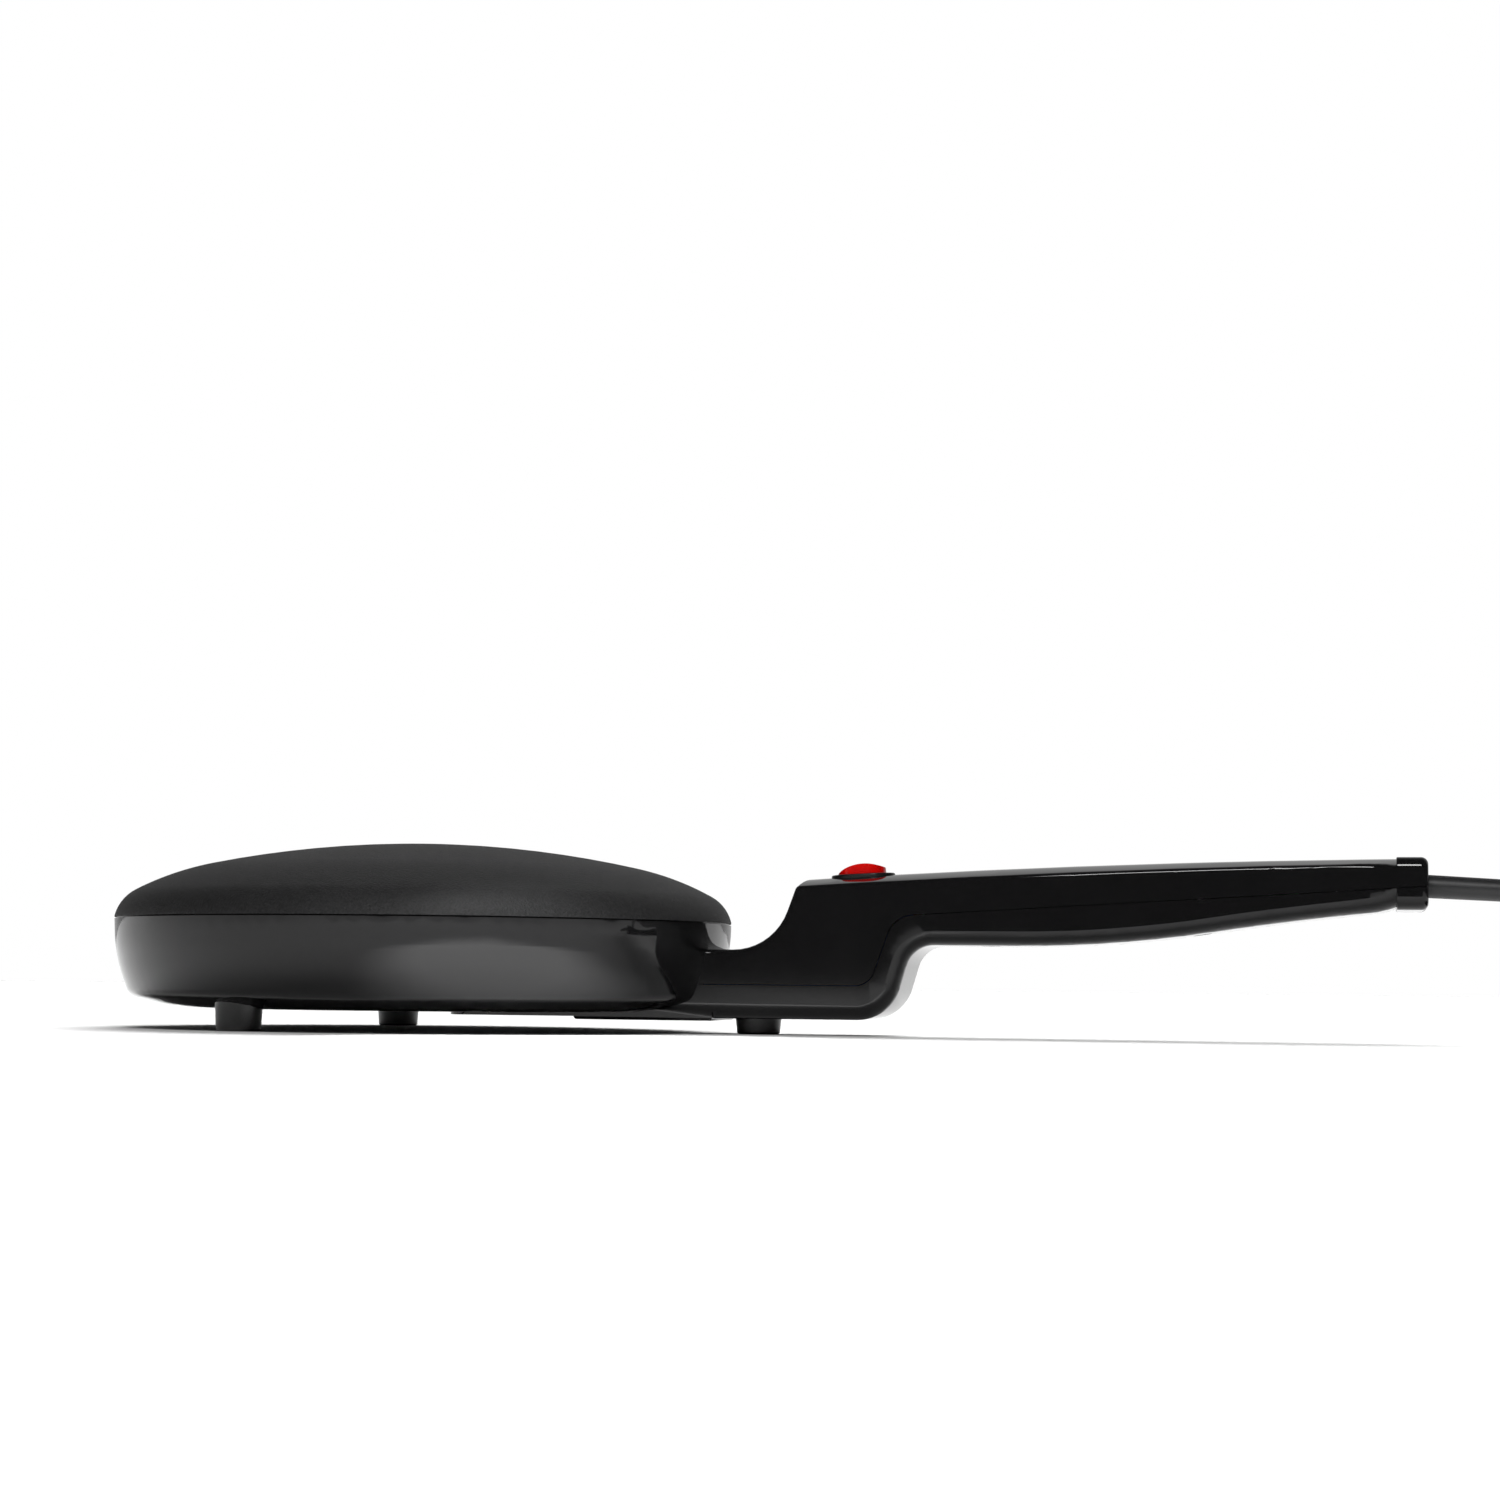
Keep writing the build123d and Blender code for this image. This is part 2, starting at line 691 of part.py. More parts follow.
# Clamps that press the element to the plate
clamp_top = element_height - element_radius - fit
with BuildPart() as element_clamps:
    for angle in clamp_angles:
        middle = polar(element_circle + 4, angle)
        with BuildSketch(plan(clamp_top - clamp_thickness)):
            with Locations(Location((middle[0], middle[1], 0), (0, 0, angle))):
                RectangleRounded(21, clamp_width, 2)
        extrude(amount=clamp_thickness)
        at = polar(clamp_boss_circle, angle)
        add(pin(at, small_screw_radius + fit, 30, 60), mode=Mode.SUBTRACT)
finish("element_clamps", element_clamps.part)
with BuildPart() as clamp_screws:
    for angle in clamp_angles:
        at = polar(clamp_boss_circle, angle)
        low = clamp_top - clamp_thickness - small_head
        add(screw(at, low, small_head_radius, small_head, small_screw_radius, element_height + 1.5))
finish("clamp_screws", clamp_screws.part)

# Thermostat on its bracket, against the middle of the plate
thermostat_low = thermostat_top - thermostat_height
with BuildPart() as thermostat:
    add(pin((thermostat_at, 0), thermostat_radius, thermostat_low, thermostat_top))
    fillet(thermostat.edges().group_by(Axis.Z)[0], 1)
finish("thermostat", thermostat.part)
with BuildPart() as thermostat_bracket:
    with BuildSketch(plan(thermostat_low + 2 - bracket_thickness)):
        with Locations((thermostat_at, 0)):
            RectangleRounded(2 * thermostat_radius + 4, 2 * bracket_half, 3)
            Circle(thermostat_radius + fit, mode=Mode.SUBTRACT)
            with Locations((0, bracket_half - 3), (0, 3 - bracket_half)):
                Circle(small_screw_radius + fit, mode=Mode.SUBTRACT)
    extrude(amount=bracket_thickness)
finish("thermostat_bracket", thermostat_bracket.part)
with BuildPart() as thermostat_screws:
    for y in (bracket_half - 3, 3 - bracket_half):
        low = thermostat_low + 2 - bracket_thickness - small_head
        add(screw((thermostat_at, y), low, small_head_radius, small_head, small_screw_radius, thermostat_top - 2))
finish("thermostat_screws", thermostat_screws.part)
blade_low = thermostat_low - blade_length
with BuildPart() as thermostat_blades:
    for x in (-4, 4):
        with BuildSketch(plan(blade_low)):
            with Locations((thermostat_at + x, 0)):
                Rectangle(blade_thickness, blade_width)
        extrude(amount=blade_length)
finish("thermostat_blades", thermostat_blades.part)

# Thermal fuse in its sleeve, held by a clip
fuse_plane = Plane((plate_x + fuse_at, -fuse_length / 2, fuse_height), x_dir=(1, 0, 0), z_dir=(0, 1, 0))
with BuildPart() as thermal_fuse:
    with BuildSketch(fuse_plane):
        Circle(fuse_radius)
    extrude(amount=fuse_length)
    chamfer(thermal_fuse.edges().group_by(Axis.Y)[-1], 0.6)
finish("thermal_fuse", thermal_fuse.part)
with BuildPart() as fuse_sleeve_tube:
    with BuildSketch(fuse_plane.offset(-1)):
        Circle(fuse_radius + fuse_sleeve)
        Circle(fuse_radius + fit, mode=Mode.SUBTRACT)
    extrude(amount=fuse_length + 2)
finish("fuse_sleeve", fuse_sleeve_tube.part)
with BuildPart() as fuse_clip:
    with BuildSketch(fuse_plane.offset(fuse_length / 2 - 2)):
        Circle(fuse_radius + fuse_sleeve + 0.8)
        Circle(fuse_radius + fuse_sleeve + fit, mode=Mode.SUBTRACT)
    extrude(amount=4)
    clip_top = fuse_height + fuse_radius + fuse_sleeve
    with BuildSketch(plan(clip_top)):
        with Locations(((fuse_at + fuse_clip_at - 3) / 2, 0)):
            Rectangle(fuse_at - fuse_clip_at + 3, 6)
    extrude(amount=-0.8)
    with BuildSketch(fuse_plane.offset(-10)):
        Circle(fuse_radius + fuse_sleeve + fit)
    extrude(amount=60, mode=Mode.SUBTRACT)
    add(pin((fuse_clip_at, 0), small_screw_radius + fit, 30, 60), mode=Mode.SUBTRACT)
finish("fuse_clip", fuse_clip.part)
finish(
    "fuse_screw",
    screw((fuse_clip_at, 0), clip_top - 0.8 - small_head, small_head_radius, small_head, small_screw_radius, clip_top + 4),
)

# Heat shield between heater and bowl
with BuildPart() as heat_shield:
    with BuildSketch(plan(shield_height)):
        Circle(shield_radius)
    extrude(amount=shield_thickness)
    add(ring(shield_radius - shield_thickness, shield_radius, shield_height, shield_height + shield_rim))
    with BuildSketch(plan(shield_height - 1)):
        with Locations(((shield_notch_start + shield_radius + 5) / 2, 0)):
            RectangleRounded(shield_radius + 5 - shield_notch_start, 2 * shield_notch_half, 3)
    extrude(amount=shield_rim + 5, mode=Mode.SUBTRACT)
    for angle in stud_angles:
        add(pin(polar(stud_circle, angle), stud_screw_radius + gap, 0, 60), mode=Mode.SUBTRACT)
finish("heat_shield", heat_shield.part)

with BuildPart() as plate_screws:
    for angle in stud_angles:
        low = shield_height - 7 - stud_head
        add(screw(polar(stud_circle, angle), low, stud_head_radius, stud_head, stud_screw_radius, shield_height + 14))
finish("plate_screws", plate_screws.part)


# Feet: round pads with a stem pressed into the housing
def foot(at, seat_height, stem_top):
    with BuildPart() as piece:
        with BuildSketch(plan(0)):
            with Locations(at):
                Circle(foot_radius - foot_taper)
        with BuildSketch(plan(seat_height)):
            with Locations(at):
                Circle(foot_radius)
        loft()
        fillet(piece.edges().group_by(Axis.Z)[0], 0.8)
        add(pin(at, foot_stem_radius, seat_height - 1, stem_top))
    return piece.part


# The front feet reach up to where the bowl's base has begun to rise
foot_radial = math.hypot(*foot_circle)
base_at_foot = bowl_floor + max(0, foot_radial - foot_radius - bowl_flat_radius) ** 2 / (2 * bowl_base_curve)
front_feet = []
for place, name in zip(foot_places, ("front_foot_left", "front_foot_right")):
    with BuildPart() as front_foot:
        add(foot(place, base_at_foot + 3, bowl_floor + foot_stem_length))
        add(bowl(-fit, seam_height) - pin(place, foot_stem_radius, 0, 40), mode=Mode.SUBTRACT)
    finish(name, front_foot.part)
with BuildPart() as neck_foot:
    add(foot((neck_foot_at, 0), neck_floor, neck_floor + foot_stem_length))
finish("neck_foot", neck_foot.part)

# Screws that join the two housings
with BuildPart() as housing_screws:
    add(
        screw(
            (housing_screw_at[0], 0),
            tongue_screw_seat - tongue_screw_head,
            small_head_radius,
            tongue_screw_head,
            small_screw_radius,
            bowl_floor + 9,
        )
    )
    for at in housing_screw_at[1:]:
        low = parting_height(at) - 4 - small_head
        add(screw((at, 0), low, small_head_radius, small_head, small_screw_radius, parting_height(at) + 4.5))
finish("housing_screws", housing_screws.part)

# Rocker switch: frame with its bezel
with BuildPart() as switch_frame:
    with BuildSketch(seat.offset(-bezel_sink)):
        SlotOverall(bezel_length, bezel_width)
    extrude(amount=bezel_thickness)
    fillet(switch_frame.faces().sort_by(Axis.Z)[-1].edges(), 0.5)
    with BuildSketch(seat.offset(-bezel_sink)):
        Rectangle(switch_body_length, switch_body_width)
    extrude(amount=-switch_body_depth)
    with BuildSketch(seat.offset(bezel_thickness)):
        SlotOverall(rocker_length + 1.2, rocker_width + 0.8)
    extrude(amount=-3, mode=Mode.SUBTRACT)
    with BuildSketch(seat.offset(-bezel_sink - 0.4)):
        Rectangle(switch_body_length - 2 * switch_wall, switch_body_width - 2 * switch_wall)
    extrude(amount=-switch_body_depth + switch_wall + 0.4, mode=Mode.SUBTRACT)
    hinge_centre = seat.origin + seat.z_dir * (bezel_thickness - bezel_sink - hinge_depth)
    hinge_line = Plane(hinge_centre, x_dir=(1, 0, 0), z_dir=(0, 1, 0))
    with BuildSketch(hinge_line.offset(-switch_body_width / 2 - 1)):
        Circle(hinge_pin_radius + fit)
    extrude(amount=switch_body_width + 2, mode=Mode.SUBTRACT)
    with BuildSketch(seat.offset(-switch_body_depth - 2)):
        for x in (-blade_pitch, 0, blade_pitch):
            with Locations((x, 0)):
                Rectangle(blade_thickness, blade_width)
    extrude(amount=4, mode=Mode.SUBTRACT)
finish("switch_frame", switch_frame.part)

# Rocker, built level and then tilted to where it rests
rocker_turn = Axis(tuple(hinge_centre), (0, 1, 0))
lens_curve = ((rocker_length / 2) ** 2 + rocker_lens**2) / (2 * rocker_lens)
bezel_top = bezel_thickness - bezel_sink
with BuildPart() as rocker:
    with BuildSketch(seat.offset(bezel_top - rocker_depth)):
        SlotOverall(rocker_length, rocker_width)
    extrude(amount=rocker_depth + rocker_rise + rocker_lens)
    lens = Plane(seat.origin, x_dir=seat.x_dir, z_dir=(0, -1, 0))
    with BuildSketch(lens):
        with BuildLine():
            ThreePointArc(
                (-rocker_length / 2, bezel_top + rocker_rise),
                (0, bezel_top + rocker_rise + rocker_lens),
                (rocker_length / 2, bezel_top + rocker_rise),
            )
            Polyline(
                (rocker_length / 2, bezel_top + rocker_rise),
                (rocker_length / 2 - 0.9, -6),
                (0.9 - rocker_length / 2, -6),
                (-rocker_length / 2, bezel_top + rocker_rise),
            )
        make_face()
    extrude(amount=rocker_width, both=True, mode=Mode.INTERSECT)
    with BuildSketch(hinge_line.offset(-switch_body_width / 2 + 0.2)):
        Circle(hinge_pin_radius)
    extrude(amount=switch_body_width - 0.4)
    with BuildSketch(seat.offset(bezel_top - rocker_depth)):
        Circle(plunger_radius + 0.8)
    extrude(amount=-1.6)
    with BuildSketch(seat.offset(bezel_top - rocker_depth - 1.6)):
        Circle(plunger_radius + fit)
    extrude(amount=4.2, mode=Mode.SUBTRACT)
finish("switch_rocker", rocker.part.rotate(rocker_turn, -rocker_tilt))

plunger_top = bezel_top - rocker_depth + 0.6
plunger_low = bezel_top - hinge_depth - plunger_reach
with BuildPart() as plunger:
    with BuildSketch(seat.offset(plunger_low)):
        Circle(plunger_radius)
    extrude(amount=plunger_top - plunger_low)
    fillet(plunger.edges().sort_by(Axis.Z)[0], 0.9)
finish("switch_plunger", plunger.part.rotate(rocker_turn, -rocker_tilt))
with BuildPart() as plunger_spring:
    with BuildSketch(seat.offset(plunger_top)):
        Circle(plunger_radius - 0.1)
        Circle(plunger_radius - 0.5, mode=Mode.SUBTRACT)
    extrude(amount=1.9)
finish("switch_spring", plunger_spring.part.rotate(rocker_turn, -rocker_tilt))

# Contact lever: a shallow V that see-saws on the middle blade
lever_tilt = 8.0
lever_height = plunger_low - 0.3 - lever_thickness
with BuildPart() as contact_lever:
    rise = lever_half * math.tan(math.radians(lever_tilt))
    with BuildSketch(Plane(seat.origin, x_dir=seat.x_dir, z_dir=(0, -1, 0))):
        with BuildLine():
            Polyline(
                (-lever_half, lever_height + rise),
                (0, lever_height),
                (lever_half, lever_height + rise),
                (lever_half, lever_height + rise + lever_thickness),
                (0, lever_height + lever_thickness),
                (-lever_half, lever_height + rise + lever_thickness),
                (-lever_half, lever_height + rise),
            )
        make_face()
    extrude(amount=lever_width / 2, both=True)
lever_pivot = seat.origin + seat.z_dir * lever_height
finish("contact_lever", contact_lever.part.rotate(Axis(tuple(lever_pivot), (0, 1, 0)), lever_tilt))

blade_top = lever_height - gap
outer_blade_top = blade_top - 0.2
floor_level = -bezel_sink - switch_body_depth
with BuildPart() as switch_blades:
    for x, top in ((-blade_pitch, outer_blade_top - 1), (0, blade_top), (blade_pitch, outer_blade_top - 1)):
        with BuildSketch(seat.offset(floor_level - blade_length)):
            with Locations((x, 0)):
                Rectangle(blade_thickness, blade_width - 2 * fit)
        extrude(amount=top - floor_level + blade_length)
finish("switch_blades", switch_blades.part)

# Cord clamp inside the handle's end
with BuildPart() as cord_clamp:
    with BuildSketch(plan(clamp_bar_top - clamp_bar_thickness)):
        with Locations((clamp_post_at, 0)):
            RectangleRounded(6, 2 * clamp_post_side + 6, 2)
            with Locations((0, clamp_post_side), (0, -clamp_post_side)):
                Circle(small_screw_radius + fit, mode=Mode.SUBTRACT)
    extrude(amount=clamp_bar_thickness)
    add(exit_bar(cord_diameter / 2 + fit, -60, 60), mode=Mode.SUBTRACT)
finish("cord_clamp", cord_clamp.part)
with BuildPart() as cord_clamp_screws:
    for y in (clamp_post_side, -clamp_post_side):
        low = clamp_bar_top - clamp_bar_thickness - small_head
        add(screw((clamp_post_at, y), low, 2.4, small_head, small_screw_radius, clamp_bar_top + 5))
finish("cord_clamp_screws", cord_clamp_screws.part)

# Strain relief: collar inside the end wall, tapered sleeve outside
with BuildPart() as strain_relief:
    add(exit_bar(relief_radius, -handle_wall - 2, relief_length + handle_wall + 2, relief_tip_radius))
    add(exit_bar(relief_collar_radius, -handle_wall - relief_collar - 1.2, relief_collar))
    fillet(strain_relief.edges().sort_by(Axis.X)[-1], 0.4)
    add(exit_bar(cord_diameter / 2 + fit, -12, relief_length + 20), mode=Mode.SUBTRACT)
finish("strain_relief", strain_relief.part)
finish("cord_inner_end", exit_bar(cord_diameter / 2, -cord_inside, cord_inside))

# Free stretch of the lead: runs joined by arcs as large as the runs allow
coil_pitch = cord_diameter + coil_gap
lead_low = tie_thickness + cord_diameter / 2 + 0.15
coil_inner = coil_middle - coil_pitch * coil_half_turns / 8
coil_outer = coil_middle + coil_pitch * coil_half_turns / 8
coil_x = coil_centre[0]
coil_y = coil_centre[1]
cord_start = exit_plane.origin
entry = Vector(coil_x + coil_outer, coil_y - cord_diameter, lead_low)


def route_radii(points):
    """Radius of the arc at each inner point: 0.45 of the shorter run over the tangent of half the turn."""
    radii = []
    for before, here, after in zip(points, points[1:], points[2:]):
        first, second = here - before, after - here
        half = math.radians(first.get_angle(second)) / 2
        radii.append(0.45 * min(first.length, second.length) / math.tan(half))
    return radii


def tube(points, diameter, radii):
    with BuildPart() as piece:
        with BuildLine() as path:
            FilletPolyline(*points, radius=radii)
        with BuildSketch(Plane(path.wire() @ 0, z_dir=path.wire() % 0)):
            Circle(diameter / 2)
        sweep()
    length = path.wire().length
    expected = math.pi * diameter**2 / 4 * length
    print(f"tube {length:.1f} long, volume off by {abs(piece.part.volume / expected - 1):.5f}")
    return piece.part, length


lead_points = [
    cord_start,
    cord_start + exit_plane.z_dir * (relief_length + 16),
    Vector(267, 0.3, 41.3),
    Vector(287, -0.4, 31.5),
    Vector(307.5, 0.2, 18.6),
    Vector(324.2, 6.9, 9.4),
    Vector(336.9, 19.6, 5.2),
    Vector(entry.X, 36.2, lead_low),
    entry,
]
lead_radii = route_radii(lead_points)
print("lead radii", [round(r) for r in lead_radii])
power_cord, lead_length = tube(lead_points, cord_diameter, lead_radii)
finish("power_cord", power_cord)

# Coil: in on the lower layer, up in the half turn where it reverses, out on the upper layer
coil_turn = math.pi * coil_half_turns
coil_middle_turn = coil_turn / 2


def coil_point(angle):
    radius = coil_inner + coil_pitch * abs(angle - coil_middle_turn) / (2 * math.pi)
    climb = min(1, max(0, (angle - coil_middle_turn) / math.pi + 0.5))
    climb = climb * climb * (3 - 2 * climb)
    height = lead_low + coil_pitch * climb
    return Vector(coil_x + radius * math.cos(angle), coil_y + radius * math.sin(angle), height)


def coil_tangent(angle):
    around = Vector(-math.sin(angle), math.cos(angle), 0)
    if min(angle, coil_turn - angle) < 0.01:
        return around
    step = 0.001
    return (coil_point(angle + step) - coil_point(angle - step)).normalized()


def biarc(start, start_way, end, end_way):
    """Two arcs that meet smoothly between two points with given directions."""
    span = end - start
    ways = start_way + end_way
    a = 2 * (1 - start_way.dot(end_way))
    b = 2 * span.dot(ways)
    reach = (math.sqrt(b * b + 4 * a * span.dot(span)) - b) / (2 * a)
    first, second = start + start_way * reach, end - end_way * reach
    joint = (first + second) / 2
    return [(start, start_way, joint), (joint, (second - first).normalized(), end)]


def on_arc(start, way, end, share):
    """Point on the arc that leaves start along way and ends at end."""
    span = end - start
    side_way = (span - way * span.dot(way)).normalized()
    turn = 2 * math.atan2(span.dot(side_way), span.dot(way))
    radius = span.length / (2 * math.sin(turn / 2))
    swept = turn * share
    return start + way * (radius * math.sin(swept)) + side_way * (radius * (1 - math.cos(swept)))


quarters = [i * math.pi / 2 for i in range(2 * coil_half_turns + 1)]
arcs = []
for a, b in zip(quarters, quarters[1:]):
    arcs += biarc(coil_point(a), coil_tangent(a), coil_point(b), coil_tangent(b))
coil_start = coil_point(0)
coil_end = coil_point(coil_turn)
coil_way_out = coil_tangent(coil_turn)
coil_in = coil_start - coil_tangent(0) * cord_diameter
coil_out = coil_end + coil_way_out * cord_diameter
with BuildPart() as cord_coil:
    with BuildLine() as winding:
        Line(coil_in, coil_start)
        for start, way, end in arcs:
            ThreePointArc(start, on_arc(start, way, end, 0.5), end)
        Line(coil_end, coil_out)
    with BuildSketch(Plane(coil_in, z_dir=coil_tangent(0))):
        Circle(cord_diameter / 2)
    sweep()
coil_length = winding.wire().length
coil_ratio = cord_coil.part.volume / (math.pi * cord_diameter**2 / 4 * coil_length)
samples = [on_arc(*arc, k / 12) for arc in arcs for k in range(12)]
spacing = coil_length / len(samples)
apart = int(3 * cord_diameter / spacing) + 1
closest = min((p - q).length for i, p in enumerate(samples) for q in samples[i + apart :])
print(f"coil {coil_length:.1f} long, volume ratio {coil_ratio:.5f}, least gap {closest - cord_diameter:.2f}")
finish("cord_coil", cord_coil.part)

# Tail from the coil to the plug's boot
plug_mouth = coil_out.Y - 24
tail_points = [
    coil_out,
    coil_out + coil_way_out * 7,
    Vector(coil_out.X - 0.4, plug_mouth + 8, plug_height / 2),
    Vector(coil_out.X - 0.4, plug_mouth, plug_height / 2),
]
tail_radii = route_radii(tail_points)
print("tail radii", [round(r) for r in tail_radii])
cord_tail, tail_length = tube(tail_points, cord_diameter, tail_radii)
finish("cord_tail", cord_tail)
print(f"lead in all {lead_length + coil_length + tail_length:.0f} mm")

# Tie round the coil's strands on the side away from the handle
tie_inner = coil_inner + coil_pitch / 2 - cord_diameter / 2 - 0.3
tie_low, tie_high = lead_low - cord_diameter / 2, lead_low + coil_pitch + cord_diameter / 2
tie_reach = coil_pitch + cord_diameter + 0.4
with BuildPart() as cord_tie:
    with BuildSketch(Plane((coil_x - tie_width / 2, coil_y, 0), x_dir=(0, 1, 0), z_dir=(1, 0, 0))):
        with Locations((tie_inner + tie_reach / 2, (tie_low + tie_high) / 2)):
            RectangleRounded(tie_reach + 2 * tie_thickness + 0.2, tie_high - tie_low + 2 * tie_thickness + 0.2, 3.6)
            RectangleRounded(tie_reach + 0.2, tie_high - tie_low + 0.2, 2.8, mode=Mode.SUBTRACT)
    extrude(amount=tie_width)
finish("cord_tie", cord_tie.part)

# Plug: lies on the table beside the coil, pins pointing away from it
plug_x = tail_points[-1].X
plug_z = plug_height / 2


def plug_section(distance, width, height, corner):
    with BuildSketch(Plane((plug_x, plug_mouth - distance, plug_z), x_dir=(1, 0, 0), z_dir=(0, -1, 0))) as section:
        RectangleRounded(width, height, corner)
    return section.sketch


with BuildPart() as plug_body:
    loft([plug_section(0, 8.4, 8.4, 4.15), plug_section(plug_boot, 10.6, 10.6, 5.2)], ruled=True)
    loft(
        [
            plug_section(plug_boot, 14, 13, 5),
            plug_section(plug_boot + 8, plug_width - 3, plug_height - 2, 7),
            plug_section(plug_boot + 16, plug_width, plug_height, 7.5),
        ]
    )
    with BuildSketch(Plane((plug_x, plug_mouth - plug_boot - 16, plug_z), x_dir=(1, 0, 0), z_dir=(0, -1, 0))):
        RectangleRounded(plug_width, plug_height, 7.5)
    extrude(amount=plug_length - 16)
    fillet(plug_body.edges().group_by(Axis.Y)[0], 1.2)
finish("plug_body", plug_body.part)
plug_face = plug_mouth - plug_boot - plug_length
with BuildPart() as plug_pins:
    pin_plane = Plane((plug_x, plug_face, plug_z), x_dir=(1, 0, 0), z_dir=(0, -1, 0))
    with BuildSketch(pin_plane):
        with Locations((-plug_pin_pitch / 2, 0), (0, plug_earth_offset), (plug_pin_pitch / 2, 0)):
            Circle(plug_pin_radius)
    extrude(amount=plug_pin_length)
    fillet(plug_pins.edges().group_by(Axis.Y)[0], 1)
finish("plug_pins", plug_pins.part)


# Wires inside: each runs between two crimps
def wire(points):
    places = [Vector(plate_x + x, y, z) for x, y, z in points]
    return tube(places, wire_diameter, [min(wire_bend, radius) for radius in route_radii(places)])[0]


wire_bend = 6.0
cord_end = exit_plane.origin - exit_plane.z_dir * cord_inside
cord_end_at = cord_end.X - plate_x
blade_foot = seat.origin + seat.z_dir * (floor_level - blade_length)


def blade_end(x):
    spot = blade_foot + seat.x_dir * x
    return (spot.X - plate_x, spot.Z)


live_x, live_z = blade_end(blade_pitch)
load_x, load_z = blade_end(-blade_pitch)
crimp_length = 3.0
crimp_gap = 0.15
neck_way = 16.0
core_start = cord_end_at - 0.5
crimp_tops = [
    ((live_x, 0), live_z - crimp_gap),
    ((load_x, 0), load_z - crimp_gap),
    ((foot_xy[0], -foot_xy[1]), terminal_low),
    ((foot_xy[0], foot_xy[1]), terminal_low),
    ((thermostat_at + 4, 0), blade_low),
    ((thermostat_at - 4, 0), blade_low),
]
live_end, load_end = live_z - crimp_gap - crimp_length, load_z - crimp_gap - crimp_length
terminal_end, thermostat_end = terminal_low - crimp_length, blade_low - crimp_length
finish(
    "live_wire",
    wire(
        [
            (core_start, 1.6, cord_end.Z),
            (core_start - 11, 7.5, cord_end.Z - 1),
            (live_x + 10, 7.5, 40.0),
            (live_x + 3, 7.5, 28.0),
            (live_x + 3, 3.0, live_end - 5),
            (live_x, 0, live_end - 5),
            (live_x, 0, live_end),
        ]
    ),
)
finish(
    "switched_wire",
    wire(
        [
            (load_x, 0, load_end),
            (load_x, 0, load_end - 4),
            (load_x - 6, -5, neck_way),
            (plate_radius - 12, -5, neck_way),
            (thermostat_at + 26, -5, thermostat_end - 3),
            (thermostat_at + 4, 0, thermostat_end - 3),
            (thermostat_at + 4, 0, thermostat_end),
        ]
    ),
)
finish(
    "neutral_wire",
    wire(
        [
            (core_start, -1.6, cord_end.Z),
            (core_start - 11, -9.0, cord_end.Z - 1),
            (switch_at + 18, -9.0, 41.0),
            (switch_at + 4, -9.0, neck_way),
            (plate_radius - 8, -9.0, neck_way),
            (foot_xy[0] + 10, -foot_xy[1], terminal_end - 6),
            (foot_xy[0], -foot_xy[1], terminal_end - 6),
            (foot_xy[0], -foot_xy[1], terminal_end),
        ]
    ),
)
finish(
    "earth_wire",
    wire(
        [
            (core_start, 0, cord_end.Z - 2),
            (core_start - 6, 2.0, cord_end.Z - 3.5),
            (core_start - 16, 10.5, cord_end.Z - 3.5),
            (switch_at + 18, 10.5, 41.0),
            (switch_at + 4, 9.5, neck_way),
            (plate_radius - 4, 6.0, neck_way),
            (earth_tag_reach - 2, 2.0, neck_way + 8),
            (earth_tag_reach - 2, 0, earth_height - 8),
            (earth_tag_reach - 2, 0, earth_height - 0.8),
        ]
    ),
)
finish(
    "fuse_lead",
    wire(
        [
            (thermostat_at - 4, 0, thermostat_end),
            (thermostat_at - 4, 0, thermostat_end - 4),
            (thermostat_at - 16, -10, thermostat_end - 4),
            (fuse_at, -18, fuse_height - 8),
            (fuse_at, -16, fuse_height),
            (fuse_at, -fuse_length / 2, fuse_height),
        ]
    ),
)
finish(
    "element_lead",
    wire(
        [
            (fuse_at, fuse_length / 2, fuse_height),
            (fuse_at, 16, fuse_height),
            (fuse_at + 4, 22, fuse_height - 9),
            (fuse_at + 24, 26, shield_height + 8),
            (shield_notch_start - 2, 24, shield_height + 7),
            (foot_xy[0] - 5, foot_xy[1] + 1, terminal_end - 4),
            (foot_xy[0], foot_xy[1], terminal_end - 4),
            (foot_xy[0], foot_xy[1], terminal_end),
        ]
    ),
)
with BuildPart() as crimp_sleeves:
    for at, top in crimp_tops:
        add(pin(at, crimp_radius, top - crimp_length, top))
finish("crimp_sleeves", crimp_sleeves.part)

# Earth tag under its screw on the plate
with BuildPart() as earth_tag:
    with BuildSketch(plan(earth_height - 0.8)):
        with Locations(((earth_at - 3 + earth_tag_reach) / 2, 0)):
            RectangleRounded(earth_tag_reach - earth_at + 3, 5.6, 2)
        with Locations((earth_at, 0)):
            Circle(small_screw_radius + fit, mode=Mode.SUBTRACT)
    extrude(amount=0.8)
finish("earth_tag", earth_tag.part)
earth_head = earth_height - 0.8 - small_head
finish("earth_screw", screw((earth_at, 0), earth_head, small_head_radius, small_head, small_screw_radius, earth_height + 5))
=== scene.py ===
import math

import bmesh
import bpy
from mathutils import Matrix, Vector


